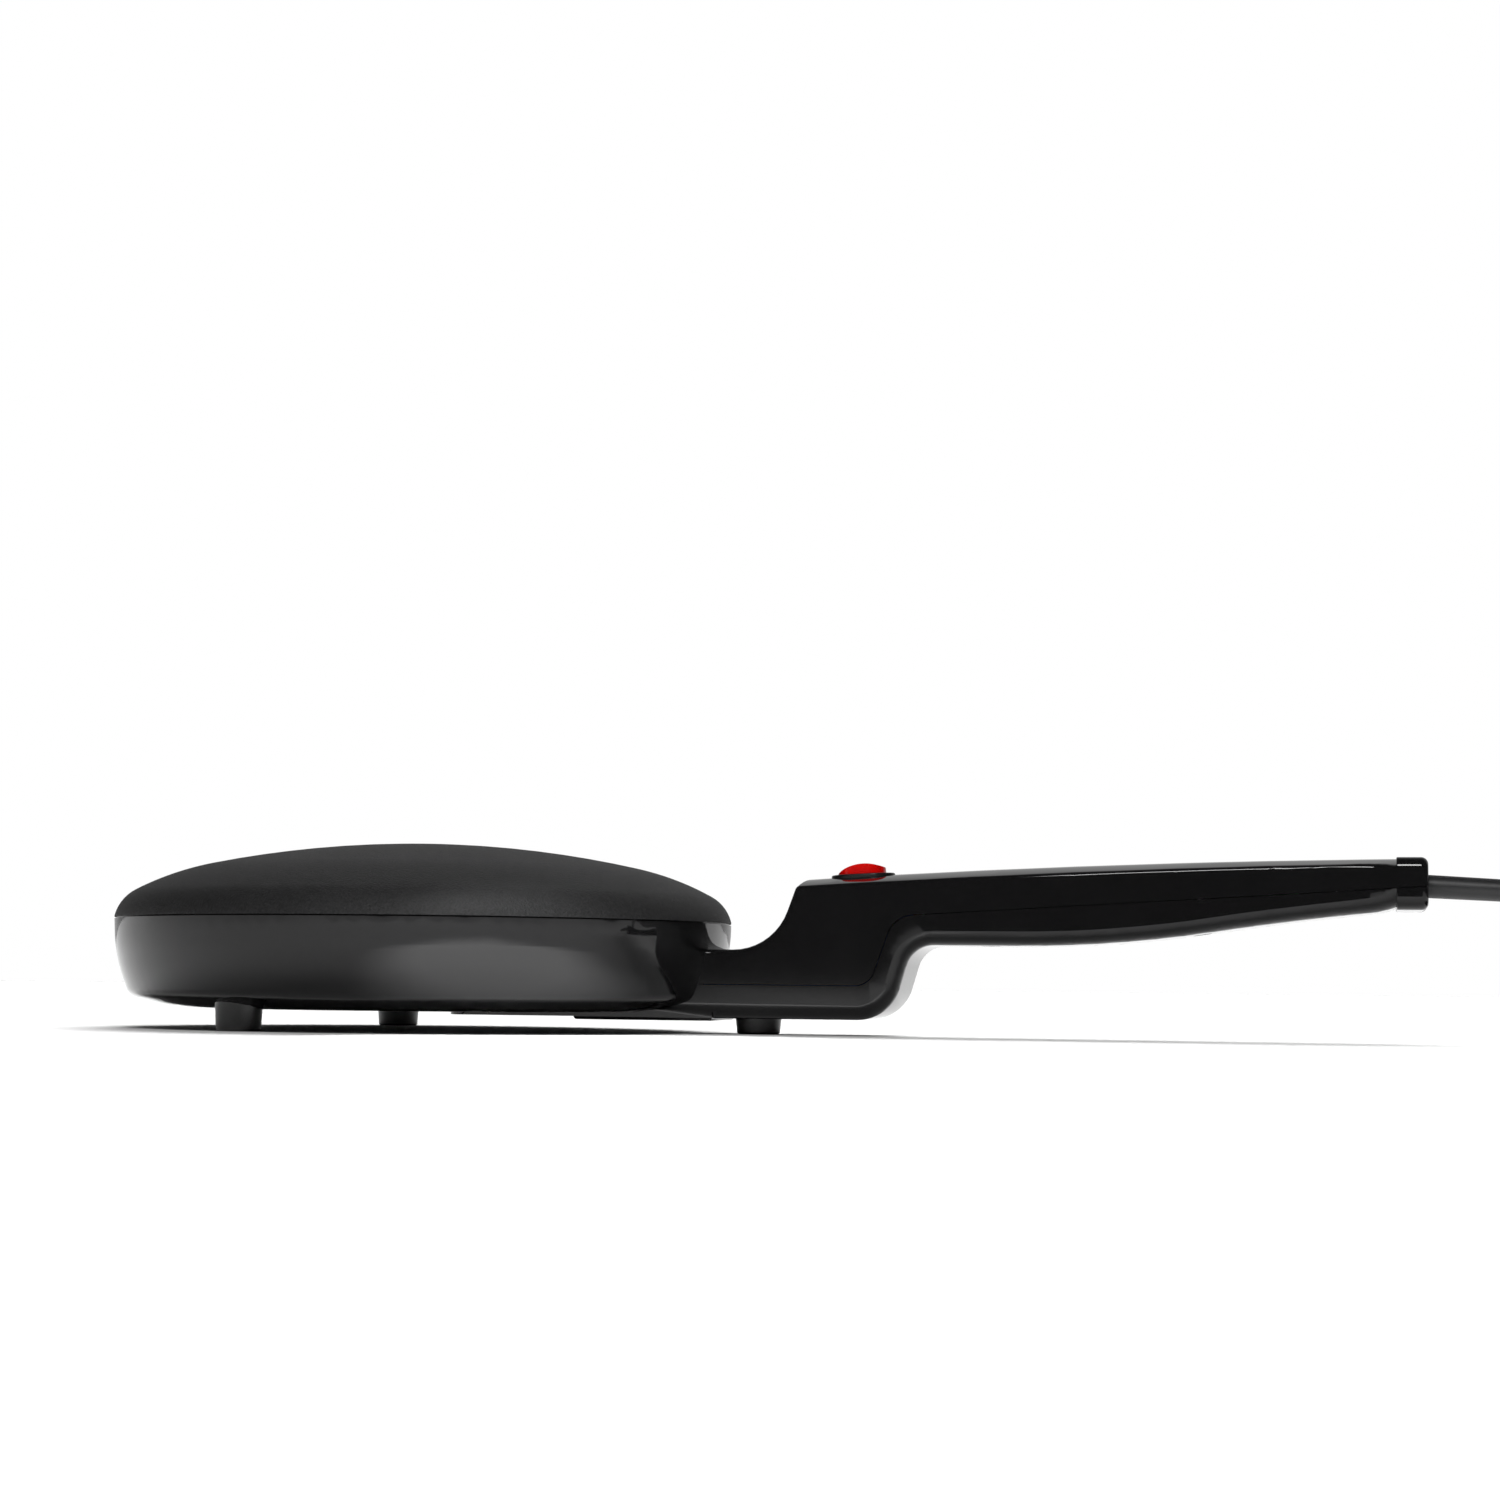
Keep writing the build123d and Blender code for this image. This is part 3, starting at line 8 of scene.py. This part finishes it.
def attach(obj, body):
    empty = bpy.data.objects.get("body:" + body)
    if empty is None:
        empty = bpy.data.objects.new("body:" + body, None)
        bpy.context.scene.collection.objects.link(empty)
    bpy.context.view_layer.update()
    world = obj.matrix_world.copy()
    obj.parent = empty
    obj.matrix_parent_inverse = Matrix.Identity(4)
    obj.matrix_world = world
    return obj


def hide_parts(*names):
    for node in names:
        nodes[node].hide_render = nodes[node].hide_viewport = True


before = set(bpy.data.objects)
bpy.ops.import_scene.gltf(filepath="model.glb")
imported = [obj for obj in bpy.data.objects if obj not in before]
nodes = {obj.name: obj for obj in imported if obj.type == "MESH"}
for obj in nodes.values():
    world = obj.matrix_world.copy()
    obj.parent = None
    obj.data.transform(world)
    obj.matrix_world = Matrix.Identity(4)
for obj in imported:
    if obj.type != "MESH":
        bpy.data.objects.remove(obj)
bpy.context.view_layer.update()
MM = 0.001


def mm(*values):
    """Millimetres to metres."""
    return tuple(value * MM for value in values)


# ---------------------------------------------------------------- camera
CAMERA_AT = mm(193.0, -918.0, 16.6)
CAMERA_TURN = 12.0
CAMERA_TILT = 4.53
CAMERA_ROLL = 0.6
LENS = 70.22
SENSOR = 36.0


def make_camera():
    """Eye just over the table, looking slightly up past the plate's front."""
    turn, tilt, roll = (math.radians(a) for a in (CAMERA_TURN, CAMERA_TILT, CAMERA_ROLL))
    level = Vector((math.cos(turn), math.sin(turn), 0))
    across, along = -math.sin(turn) * math.cos(tilt), math.cos(turn) * math.cos(tilt)
    ahead = Vector((across, along, math.sin(tilt)))
    above = level.cross(ahead)
    right = level * math.cos(roll) + above * math.sin(roll)
    up = above * math.cos(roll) - level * math.sin(roll)
    data = bpy.data.cameras.new("camera")
    data.lens = LENS
    data.sensor_width = SENSOR
    data.clip_start = 0.01
    camera = bpy.data.objects.new("camera", data)
    bpy.context.scene.collection.objects.link(camera)
    camera.matrix_world = Matrix(
        (
            (right.x, up.x, -ahead.x, CAMERA_AT[0]),
            (right.y, up.y, -ahead.y, CAMERA_AT[1]),
            (right.z, up.z, -ahead.z, CAMERA_AT[2]),
            (0, 0, 0, 1),
        )
    )
    bpy.context.scene.camera = camera


make_camera()


# ---------------------------------------------------------------- shader maths
class Value:
    """A number or colour socket that can be used in sums."""

    def __init__(self, surface, socket):
        self.surface = surface
        self.socket = socket

    def _math(self, operation, other):
        return self.surface.node("ShaderNodeMath", {"operation": operation}, [self, other])

    def __add__(self, other):
        return self._math("ADD", other)

    def __sub__(self, other):
        return self._math("SUBTRACT", other)

    def __mul__(self, other):
        return self._math("MULTIPLY", other)

    def __pow__(self, other):
        return self._math("POWER", other)

    def __radd__(self, other):
        return self._math("ADD", other)

    def __rmul__(self, other):
        return self._math("MULTIPLY", other)

    def __rsub__(self, other):
        return self.surface.node("ShaderNodeMath", {"operation": "SUBTRACT"}, [other, self])

    def over(self, limit):
        return self._math("GREATER_THAN", limit)

    def clamped(self):
        return self.surface.node("ShaderNodeClamp", {}, {"Value": self})


class Surface:
    """A material with one Principled shader, built node by node."""

    def __init__(self, name, **constants):
        self.material = bpy.data.materials.new(name)
        self.material.use_nodes = True
        self.tree = self.material.node_tree
        self.shader = next(n for n in self.tree.nodes if n.type == "BSDF_PRINCIPLED")
        for socket, value in constants.items():
            self.shader.inputs[socket.replace("_", " ")].default_value = value
        self.place = self.node("ShaderNodeTexCoord", {}, {}, "Object")

    def node(self, kind, settings, inputs, output=0):
        """Adds a node, sets it up, feeds its sockets and gives one of its outputs."""
        made = self.tree.nodes.new(kind)
        for key, value in settings.items():
            setattr(made, key, value)
        pairs = enumerate(inputs) if isinstance(inputs, list) else inputs.items()
        for key, value in pairs:
            socket = made.inputs[key]
            if isinstance(value, Value):
                self.tree.links.new(value.socket, socket)
            else:
                socket.default_value = value
        return Value(self, made.outputs[output])

    def noise(self, size, detail=2.0, rough=0.5, stretch=(1, 1, 1)):
        """Noise whose features are about size metres."""
        where = self.place
        if stretch != (1, 1, 1):
            where = self.node("ShaderNodeMapping", {}, {"Vector": self.place, "Scale": stretch})
        sockets = {"Vector": where, "Scale": 1 / size, "Detail": detail, "Roughness": rough}
        return self.node("ShaderNodeTexNoise", {}, sockets)

    def cells(self, size):
        """Distance from the nearest of scattered points about size metres apart."""
        sockets = {"Vector": self.place, "Scale": 1 / size}
        return self.node("ShaderNodeTexVoronoi", {}, sockets, "Distance")

    def mix(self, factor, a, b):
        """Colour a where factor is 0 and b where it is 1."""
        made = self.tree.nodes.new("ShaderNodeMix")
        made.data_type = "RGBA"
        colours = [s for s in made.inputs if s.type == "RGBA"]
        for socket, value in zip([made.inputs[0], *colours], (factor, a, b)):
            if isinstance(value, Value):
                self.tree.links.new(value.socket, socket)
            else:
                socket.default_value = value if isinstance(value, float) else (*value, 1)[:4]
        result = next(s for s in made.outputs if s.type == "RGBA")
        return Value(self, result)

    def bump(self, height, depth, strength=1.0):
        """Relief of depth metres from a height of 0 to 1."""
        sockets = {"Height": height, "Distance": depth, "Strength": strength}
        return self.node("ShaderNodeBump", {}, sockets, "Normal")

    def feed(self, **sockets):
        for name, value in sockets.items():
            self.tree.links.new(value.socket, self.shader.inputs[name.replace("_", " ")])
        return self


# ---------------------------------------------------------------- finishes
def glossy_moulding():
    """Polished black plastic with faint handling haze and flow ripple."""
    s = Surface("polished_black", IOR=1.5, Specular_IOR_Level=0.3)
    haze = s.noise(0.018, 3.0, 0.6)
    fine = s.noise(0.0009, 2.0)
    s.feed(Base_Color=s.mix(haze, (0.0045, 0.0045, 0.0048), (0.0068, 0.0067, 0.007)))
    s.feed(Roughness=haze * 0.03 + fine * 0.02 + 0.03)
    return s.feed(Normal=s.bump(s.noise(0.03, 1.0), 0.00002, 0.3)).material


def coated_plate():
    """Matt non-stick coat, fine grained, with bright specks where the grain turns to the light."""
    s = Surface("nonstick_coat", IOR=1.48, Specular_IOR_Level=0.3)
    grain = s.noise(0.0007, 2.0, 0.7)
    coarse = s.noise(0.0026, 2.0, 0.5)
    tone = s.noise(0.03, 3.0, 0.55)
    specks = s.cells(0.0011)
    fleck = (1 - specks * 2.4).clamped() ** 5.0
    shade = grain * 1.9 + tone * 0.3 - 0.55
    s.feed(Base_Color=s.mix(shade, (0.002, 0.002, 0.0021), (0.02, 0.02, 0.0205)))
    s.feed(Roughness=(0.52 + grain * 0.16 - fleck * 0.2).clamped())
    height = grain * 0.8 + coarse * 0.2
    return s.feed(Normal=s.bump(height, 0.0004, 1.0)).material


def red_rocker():
    s = Surface("red_polish", IOR=1.5, Specular_IOR_Level=0.2)
    haze = s.noise(0.004, 3.0, 0.6)
    s.feed(Base_Color=s.mix(haze, (0.66, 0.0, 0.0), (0.78, 0.004, 0.002)))
    return s.feed(Roughness=haze * 0.08 + 0.14).material


def satin(name, dark, light, grain=0.0006, rough=0.42, depth=0.00003):
    """Plain moulded or rubbery finish with a fine spark-eroded texture."""
    s = Surface(name, IOR=1.5)
    fine = s.noise(grain, 3.0, 0.6)
    broad = s.noise(0.012, 2.0)
    s.feed(Base_Color=s.mix(fine * 0.5 + broad * 0.5, dark, light))
    s.feed(Roughness=fine * 0.14 + broad * 0.06 + rough)
    return s.feed(Normal=s.bump(fine, depth, 0.8)).material


def metal(name, dark, light, rough=0.28, stretch=(1, 1, 1)):
    """Drawn or plated metal with a faint lengthwise grain."""
    s = Surface(name, Metallic=1.0)
    grain = s.noise(0.0008, 3.0, 0.6, stretch)
    stain = s.noise(0.009, 3.0, 0.6)
    s.feed(Base_Color=s.mix(grain * 0.5 + stain * 0.5, dark, light))
    s.feed(Roughness=grain * 0.16 + stain * 0.1 + rough)
    return s.feed(Normal=s.bump(grain, 0.00001, 0.6)).material


def ceramic():
    s = Surface("unglazed_ceramic", IOR=1.45)
    pores = s.noise(0.0005, 4.0, 0.7)
    s.feed(Base_Color=s.mix(pores, (0.72, 0.68, 0.6), (0.85, 0.82, 0.76)))
    s.feed(Roughness=pores * 0.2 + 0.6)
    return s.feed(Normal=s.bump(pores, 0.00004)).material


def woven_sleeve():
    s = Surface("glass_weave", IOR=1.45)
    threads = s.node(
        "ShaderNodeTexWave",
        {"bands_direction": "DIAGONAL"},
        {"Vector": s.place, "Scale": 420.0, "Distortion": 1.5, "Detail": 1.0},
        "Fac",
    )
    s.feed(Base_Color=s.mix(threads, (0.5, 0.47, 0.4), (0.8, 0.78, 0.72)))
    s.feed(Roughness=threads * 0.15 + 0.6)
    return s.feed(Normal=s.bump(threads, 0.0001)).material


POLISHED = glossy_moulding()
COAT = coated_plate()
RED = red_rocker()
BEZEL = satin("bezel_satin", (0.006, 0.006, 0.006), (0.011, 0.011, 0.011), 0.0004, 0.2, 0.00001)
RUBBER = satin("foot_rubber", (0.008, 0.008, 0.008), (0.017, 0.017, 0.017), 0.0005, 0.24, 0.00003)
SHEATH = satin("cord_sheath", (0.009, 0.009, 0.01), (0.016, 0.016, 0.017), 0.0007, 0.36, 0.00002)
PLUG = satin("plug_satin", (0.01, 0.01, 0.0105), (0.018, 0.018, 0.019), 0.0006, 0.42, 0.00004)
INNER = satin("inner_black", (0.015, 0.015, 0.016), (0.03, 0.03, 0.031), 0.0006, 0.5)
PLATED = metal("plated_steel", (0.5, 0.5, 0.52), (0.68, 0.68, 0.69), 0.25)
HEATER = metal("heater_tube", (0.2, 0.19, 0.18), (0.36, 0.34, 0.33), 0.4)
BRASS = metal("contact_brass", (0.6, 0.43, 0.17), (0.78, 0.6, 0.28), 0.27)
PINS = metal("nickel_pins", (0.6, 0.59, 0.56), (0.74, 0.73, 0.7), 0.16, (1, 0.15, 1))
CERAMIC = ceramic()
WEAVE = woven_sleeve()
BROWN = satin("wire_brown", (0.12, 0.045, 0.02), (0.2, 0.08, 0.035), 0.0005, 0.4)
BLUE = satin("wire_blue", (0.01, 0.06, 0.3), (0.025, 0.1, 0.45), 0.0005, 0.4)


def earth_stripe():
    """Green sleeve with a yellow stripe."""
    s = Surface("wire_earth", IOR=1.5)
    sockets = {"Vector": s.place, "Scale": 180.0, "Distortion": 0.4}
    band = s.node("ShaderNodeTexWave", {"bands_direction": "Z"}, sockets, "Fac")
    s.feed(Base_Color=s.mix(band.over(0.62), (0.02, 0.2, 0.03), (0.62, 0.55, 0.03)))
    return s.feed(Roughness=s.noise(0.0006) * 0.15 + 0.36).material


EARTH = earth_stripe()


# ---------------------------------------------------------------- pieces from the model
SHARP_ANGLE = 28.0
WELD = 2e-6
SLIVER = 1e-7


def link(obj):
    bpy.context.scene.collection.objects.link(obj)
    return obj


def paint(obj, material):
    obj.data.materials.clear()
    obj.data.materials.append(material)


def smooth_copy(node, name, material, body="housing"):
    """Smoothly shaded copy of a model node, which it replaces."""
    mesh = nodes[node].data.copy()
    mesh.name = name
    build = bmesh.new()
    build.from_mesh(mesh)
    bmesh.ops.remove_doubles(build, verts=build.verts, dist=WELD)
    bmesh.ops.dissolve_degenerate(build, edges=build.edges, dist=SLIVER)
    for face in build.faces:
        face.smooth = True
    limit = math.radians(SHARP_ANGLE)
    for edge in build.edges:
        edge.smooth = len(edge.link_faces) == 2 and edge.calc_face_angle(0) < limit
    build.to_mesh(mesh)
    build.free()
    piece = link(bpy.data.objects.new(name, mesh))
    paint(piece, material)
    even = piece.modifiers.new("even_normals", "WEIGHTED_NORMAL")
    even.keep_sharp = True
    even.mode = "FACE_AREA_WITH_ANGLE"
    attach(piece, body)
    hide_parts(node)
    return piece


# ---------------------------------------------------------------- mains lead
CORD = 6.2
COIL_AT = (304.0, 62.0)
COIL_PITCH = 6.7
COIL_TURNS = 3.5
COIL_MIDDLE = 34.0
LEAD_LOW = 4.05
STEPS_A_TURN = 16
LENGTH_STEPS = 6
ROUND_STEPS = 5


def coil_points():
    """In on the lower layer, up in the middle half turn, out on the upper layer."""
    inner = COIL_MIDDLE - COIL_PITCH * COIL_TURNS / 4
    middle = math.pi * COIL_TURNS
    # the curve runs inside its control points, so these stand a little outside it
    wider = 4 / (3 + math.cos(2 * math.pi / STEPS_A_TURN))
    count = round(COIL_TURNS * STEPS_A_TURN)
    points = []
    for i in range(count + 1):
        angle = 2 * math.pi * i / STEPS_A_TURN
        radius = (inner + COIL_PITCH * abs(angle - middle) / (2 * math.pi)) * wider
        climb = min(1.0, max(0.0, (angle - middle) / math.pi + 0.5))
        climb = climb * climb * (3 - 2 * climb)
        points.append(
            (
                COIL_AT[0] + radius * math.cos(angle),
                COIL_AT[1] + radius * math.sin(angle),
                LEAD_LOW + COIL_PITCH * climb,
            )
        )
    return points


def make_cord():
    """Lead from the handle's end face to the table, round the coil and out to the plug."""
    route = [
        (212.0, 0.0, 47.7),
        (222.0, 0.0, 47.17),
        (236.0, 0.0, 46.44),
        (249.9, 0.0, 45.7),
        (267.0, 0.3, 41.3),
        (287.0, -0.4, 31.5),
        (307.5, 0.2, 18.6),
        (324.2, 6.9, 9.4),
        (336.9, 19.6, 5.2),
        (343.86, 36.2, LEAD_LOW),
        (344.3, 50.0, LEAD_LOW),
    ]
    route += coil_points()
    route += [(263.8, 50.0, 10.75), (263.74, 41.0, 9.6), (263.74, 34.0, 9.5), (263.74, 27.0, 9.5)]
    curve = bpy.data.curves.new("mains_lead", "CURVE")
    curve.dimensions = "3D"
    spline = curve.splines.new("NURBS")
    spline.points.add(len(route) - 1)
    for point, place in zip(spline.points, route):
        point.co = (*mm(*place), 1)
    spline.order_u = 3
    spline.use_endpoint_u = True
    spline.resolution_u = LENGTH_STEPS
    curve.bevel_depth = CORD * MM / 2
    curve.bevel_resolution = ROUND_STEPS
    curve.use_fill_caps = True
    lead = link(bpy.data.objects.new("mains_lead", curve))
    curve.materials.append(SHEATH)
    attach(lead, "housing")
    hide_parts("power_cord", "cord_coil", "cord_tail")
    return lead


lead = make_cord()
plug = smooth_copy("plug_body", "plug", PLUG)
relief = smooth_copy("strain_relief", "relief_sleeve", SHEATH)
tie = smooth_copy("cord_tie", "coil_tie", INNER)
mm(210.0, 0.0, 47.8)

smooth_copy("upper_housing", "bowl_and_handle", POLISHED)
smooth_copy("lower_housing", "under_cover", POLISHED)
smooth_copy("cooking_plate", "domed_plate", COAT)
smooth_copy("front_foot_left", "foot_left", RUBBER)
smooth_copy("front_foot_right", "foot_right", RUBBER)
smooth_copy("neck_foot", "foot_neck", RUBBER)
smooth_copy("switch_frame", "switch_bezel", BEZEL)
smooth_copy("switch_rocker", "rocker_cap", RED, body="rocker")

KEPT = {
    "heating_element": HEATER,
    "terminal_beads": CERAMIC,
    "terminal_pins": PLATED,
    "element_clamps": PLATED,
    "clamp_screws": PLATED,
    "thermostat": CERAMIC,
    "thermostat_bracket": PLATED,
    "thermostat_screws": PLATED,
    "thermostat_blades": BRASS,
    "thermal_fuse": PLATED,
    "fuse_sleeve": WEAVE,
    "fuse_clip": PLATED,
    "fuse_screw": PLATED,
    "earth_tag": BRASS,
    "earth_screw": PLATED,
    "heat_shield": PLATED,
    "plate_screws": PLATED,
    "housing_screws": PLATED,
    "switch_plunger": INNER,
    "switch_spring": PLATED,
    "contact_lever": BRASS,
    "switch_blades": BRASS,
    "cord_clamp": INNER,
    "cord_clamp_screws": PLATED,
    "cord_inner_end": SHEATH,
    "plug_pins": PINS,
    "live_wire": BROWN,
    "switched_wire": BROWN,
    "neutral_wire": BLUE,
    "earth_wire": EARTH,
    "fuse_lead": BROWN,
    "element_lead": BROWN,
    "crimp_sleeves": BRASS,
}
for node, material in KEPT.items():
    paint(nodes[node], material)


# ---------------------------------------------------------------- studio
FLOOR_REACH = 6.0
PATCH_EDGE = 0.12
PATCH_LAMP = 0.02
BACKDROP_FROM, BACKDROP_TO = 0.2, 0.9
DIM, BRIGHT = 0.05, 0.5


def make_floor():
    build = bmesh.new()
    bmesh.ops.create_grid(build, x_segments=2, y_segments=2, size=FLOOR_REACH)
    mesh = bpy.data.meshes.new("floor")
    build.to_mesh(mesh)
    build.free()
    floor = link(bpy.data.objects.new("floor", mesh))
    s = Surface("pale_floor", Roughness=0.9, Specular_IOR_Level=0.1)
    s.feed(Base_Color=s.mix(s.noise(0.4, 2.0), (0.9, 0.9, 0.9), (0.93, 0.93, 0.93)))
    paint(floor, s.material)


def aim_lamp(lamp, at, aim):
    way = Vector(aim) - Vector(at)
    lamp.matrix_world = Matrix.Translation(at) @ way.to_track_quat("-Z", "Y").to_matrix().to_4x4()


def soft_light(name, at, aim, size, power):
    """Rectangular lamp for the plate's near side."""
    data = bpy.data.lights.new(name, "AREA")
    data.shape = "RECTANGLE"
    data.size, data.size_y = size
    data.energy = power
    aim_lamp(link(bpy.data.objects.new(name, data)), at, aim)


def even_light(name, towards, strength, softness):
    """Far light with a wide soft edge, left out of gloss so that polished black stays black."""
    data = bpy.data.lights.new(name, "SUN")
    data.energy = strength
    data.angle = math.radians(softness)
    lamp = link(bpy.data.objects.new(name, data))
    lamp.matrix_world = Vector(towards).to_track_quat("Z", "Y").to_matrix().to_4x4()
    lamp.visible_glossy = False


def patch_light(name, at, aim, width, power):
    """Round patch of light on the floor, with a fairly crisp edge."""
    data = bpy.data.lights.new(name, "SPOT")
    data.energy = power
    data.spot_size = math.radians(width)
    data.spot_blend = PATCH_EDGE
    data.shadow_soft_size = PATCH_LAMP
    aim_lamp(link(bpy.data.objects.new(name, data)), at, aim)


def make_world():
    """Bright behind the object and dim behind the camera, as with a lit backdrop."""
    world = bpy.data.worlds.new("studio")
    world.use_nodes = True
    tree = world.node_tree
    background = next(n for n in tree.nodes if n.type == "BACKGROUND")
    coords = tree.nodes.new("ShaderNodeTexCoord")
    split = tree.nodes.new("ShaderNodeSeparateXYZ")
    rise = tree.nodes.new("ShaderNodeMapRange")
    rise.inputs["From Min"].default_value = BACKDROP_FROM
    rise.inputs["From Max"].default_value = BACKDROP_TO
    rise.inputs["To Min"].default_value = DIM
    rise.inputs["To Max"].default_value = BRIGHT
    rise.interpolation_type = "SMOOTHSTEP"
    tree.links.new(coords.outputs["Generated"], split.inputs[0])
    tree.links.new(split.outputs["Y"], rise.inputs["Value"])
    path = tree.nodes.new("ShaderNodeLightPath")
    seen = tree.nodes.new("ShaderNodeMath")
    seen.operation = "MAXIMUM"
    tree.links.new(path.outputs["Is Camera Ray"], seen.inputs[0])
    tree.links.new(rise.outputs[0], seen.inputs[1])
    tree.links.new(seen.outputs[0], background.inputs["Strength"])
    background.inputs["Color"].default_value = (1, 1, 1, 1)
    bpy.context.scene.world = world


make_floor()
make_world()
even_light("backlight", towards=(0.0, 1.0, 1.1), strength=4.4, softness=50.0)
patch_light("front_patch", at=(0.0, -0.3, 0.5), aim=(-0.02, -0.135, 0.0), width=15.5, power=30.0)
soft_light("plate_front", at=(0.12, -0.75, 0.75), aim=(-0.08, -0.05, 0.05), size=(0.3, 0.2), power=5.0)
bpy.context.scene.view_settings.view_transform = "Standard"
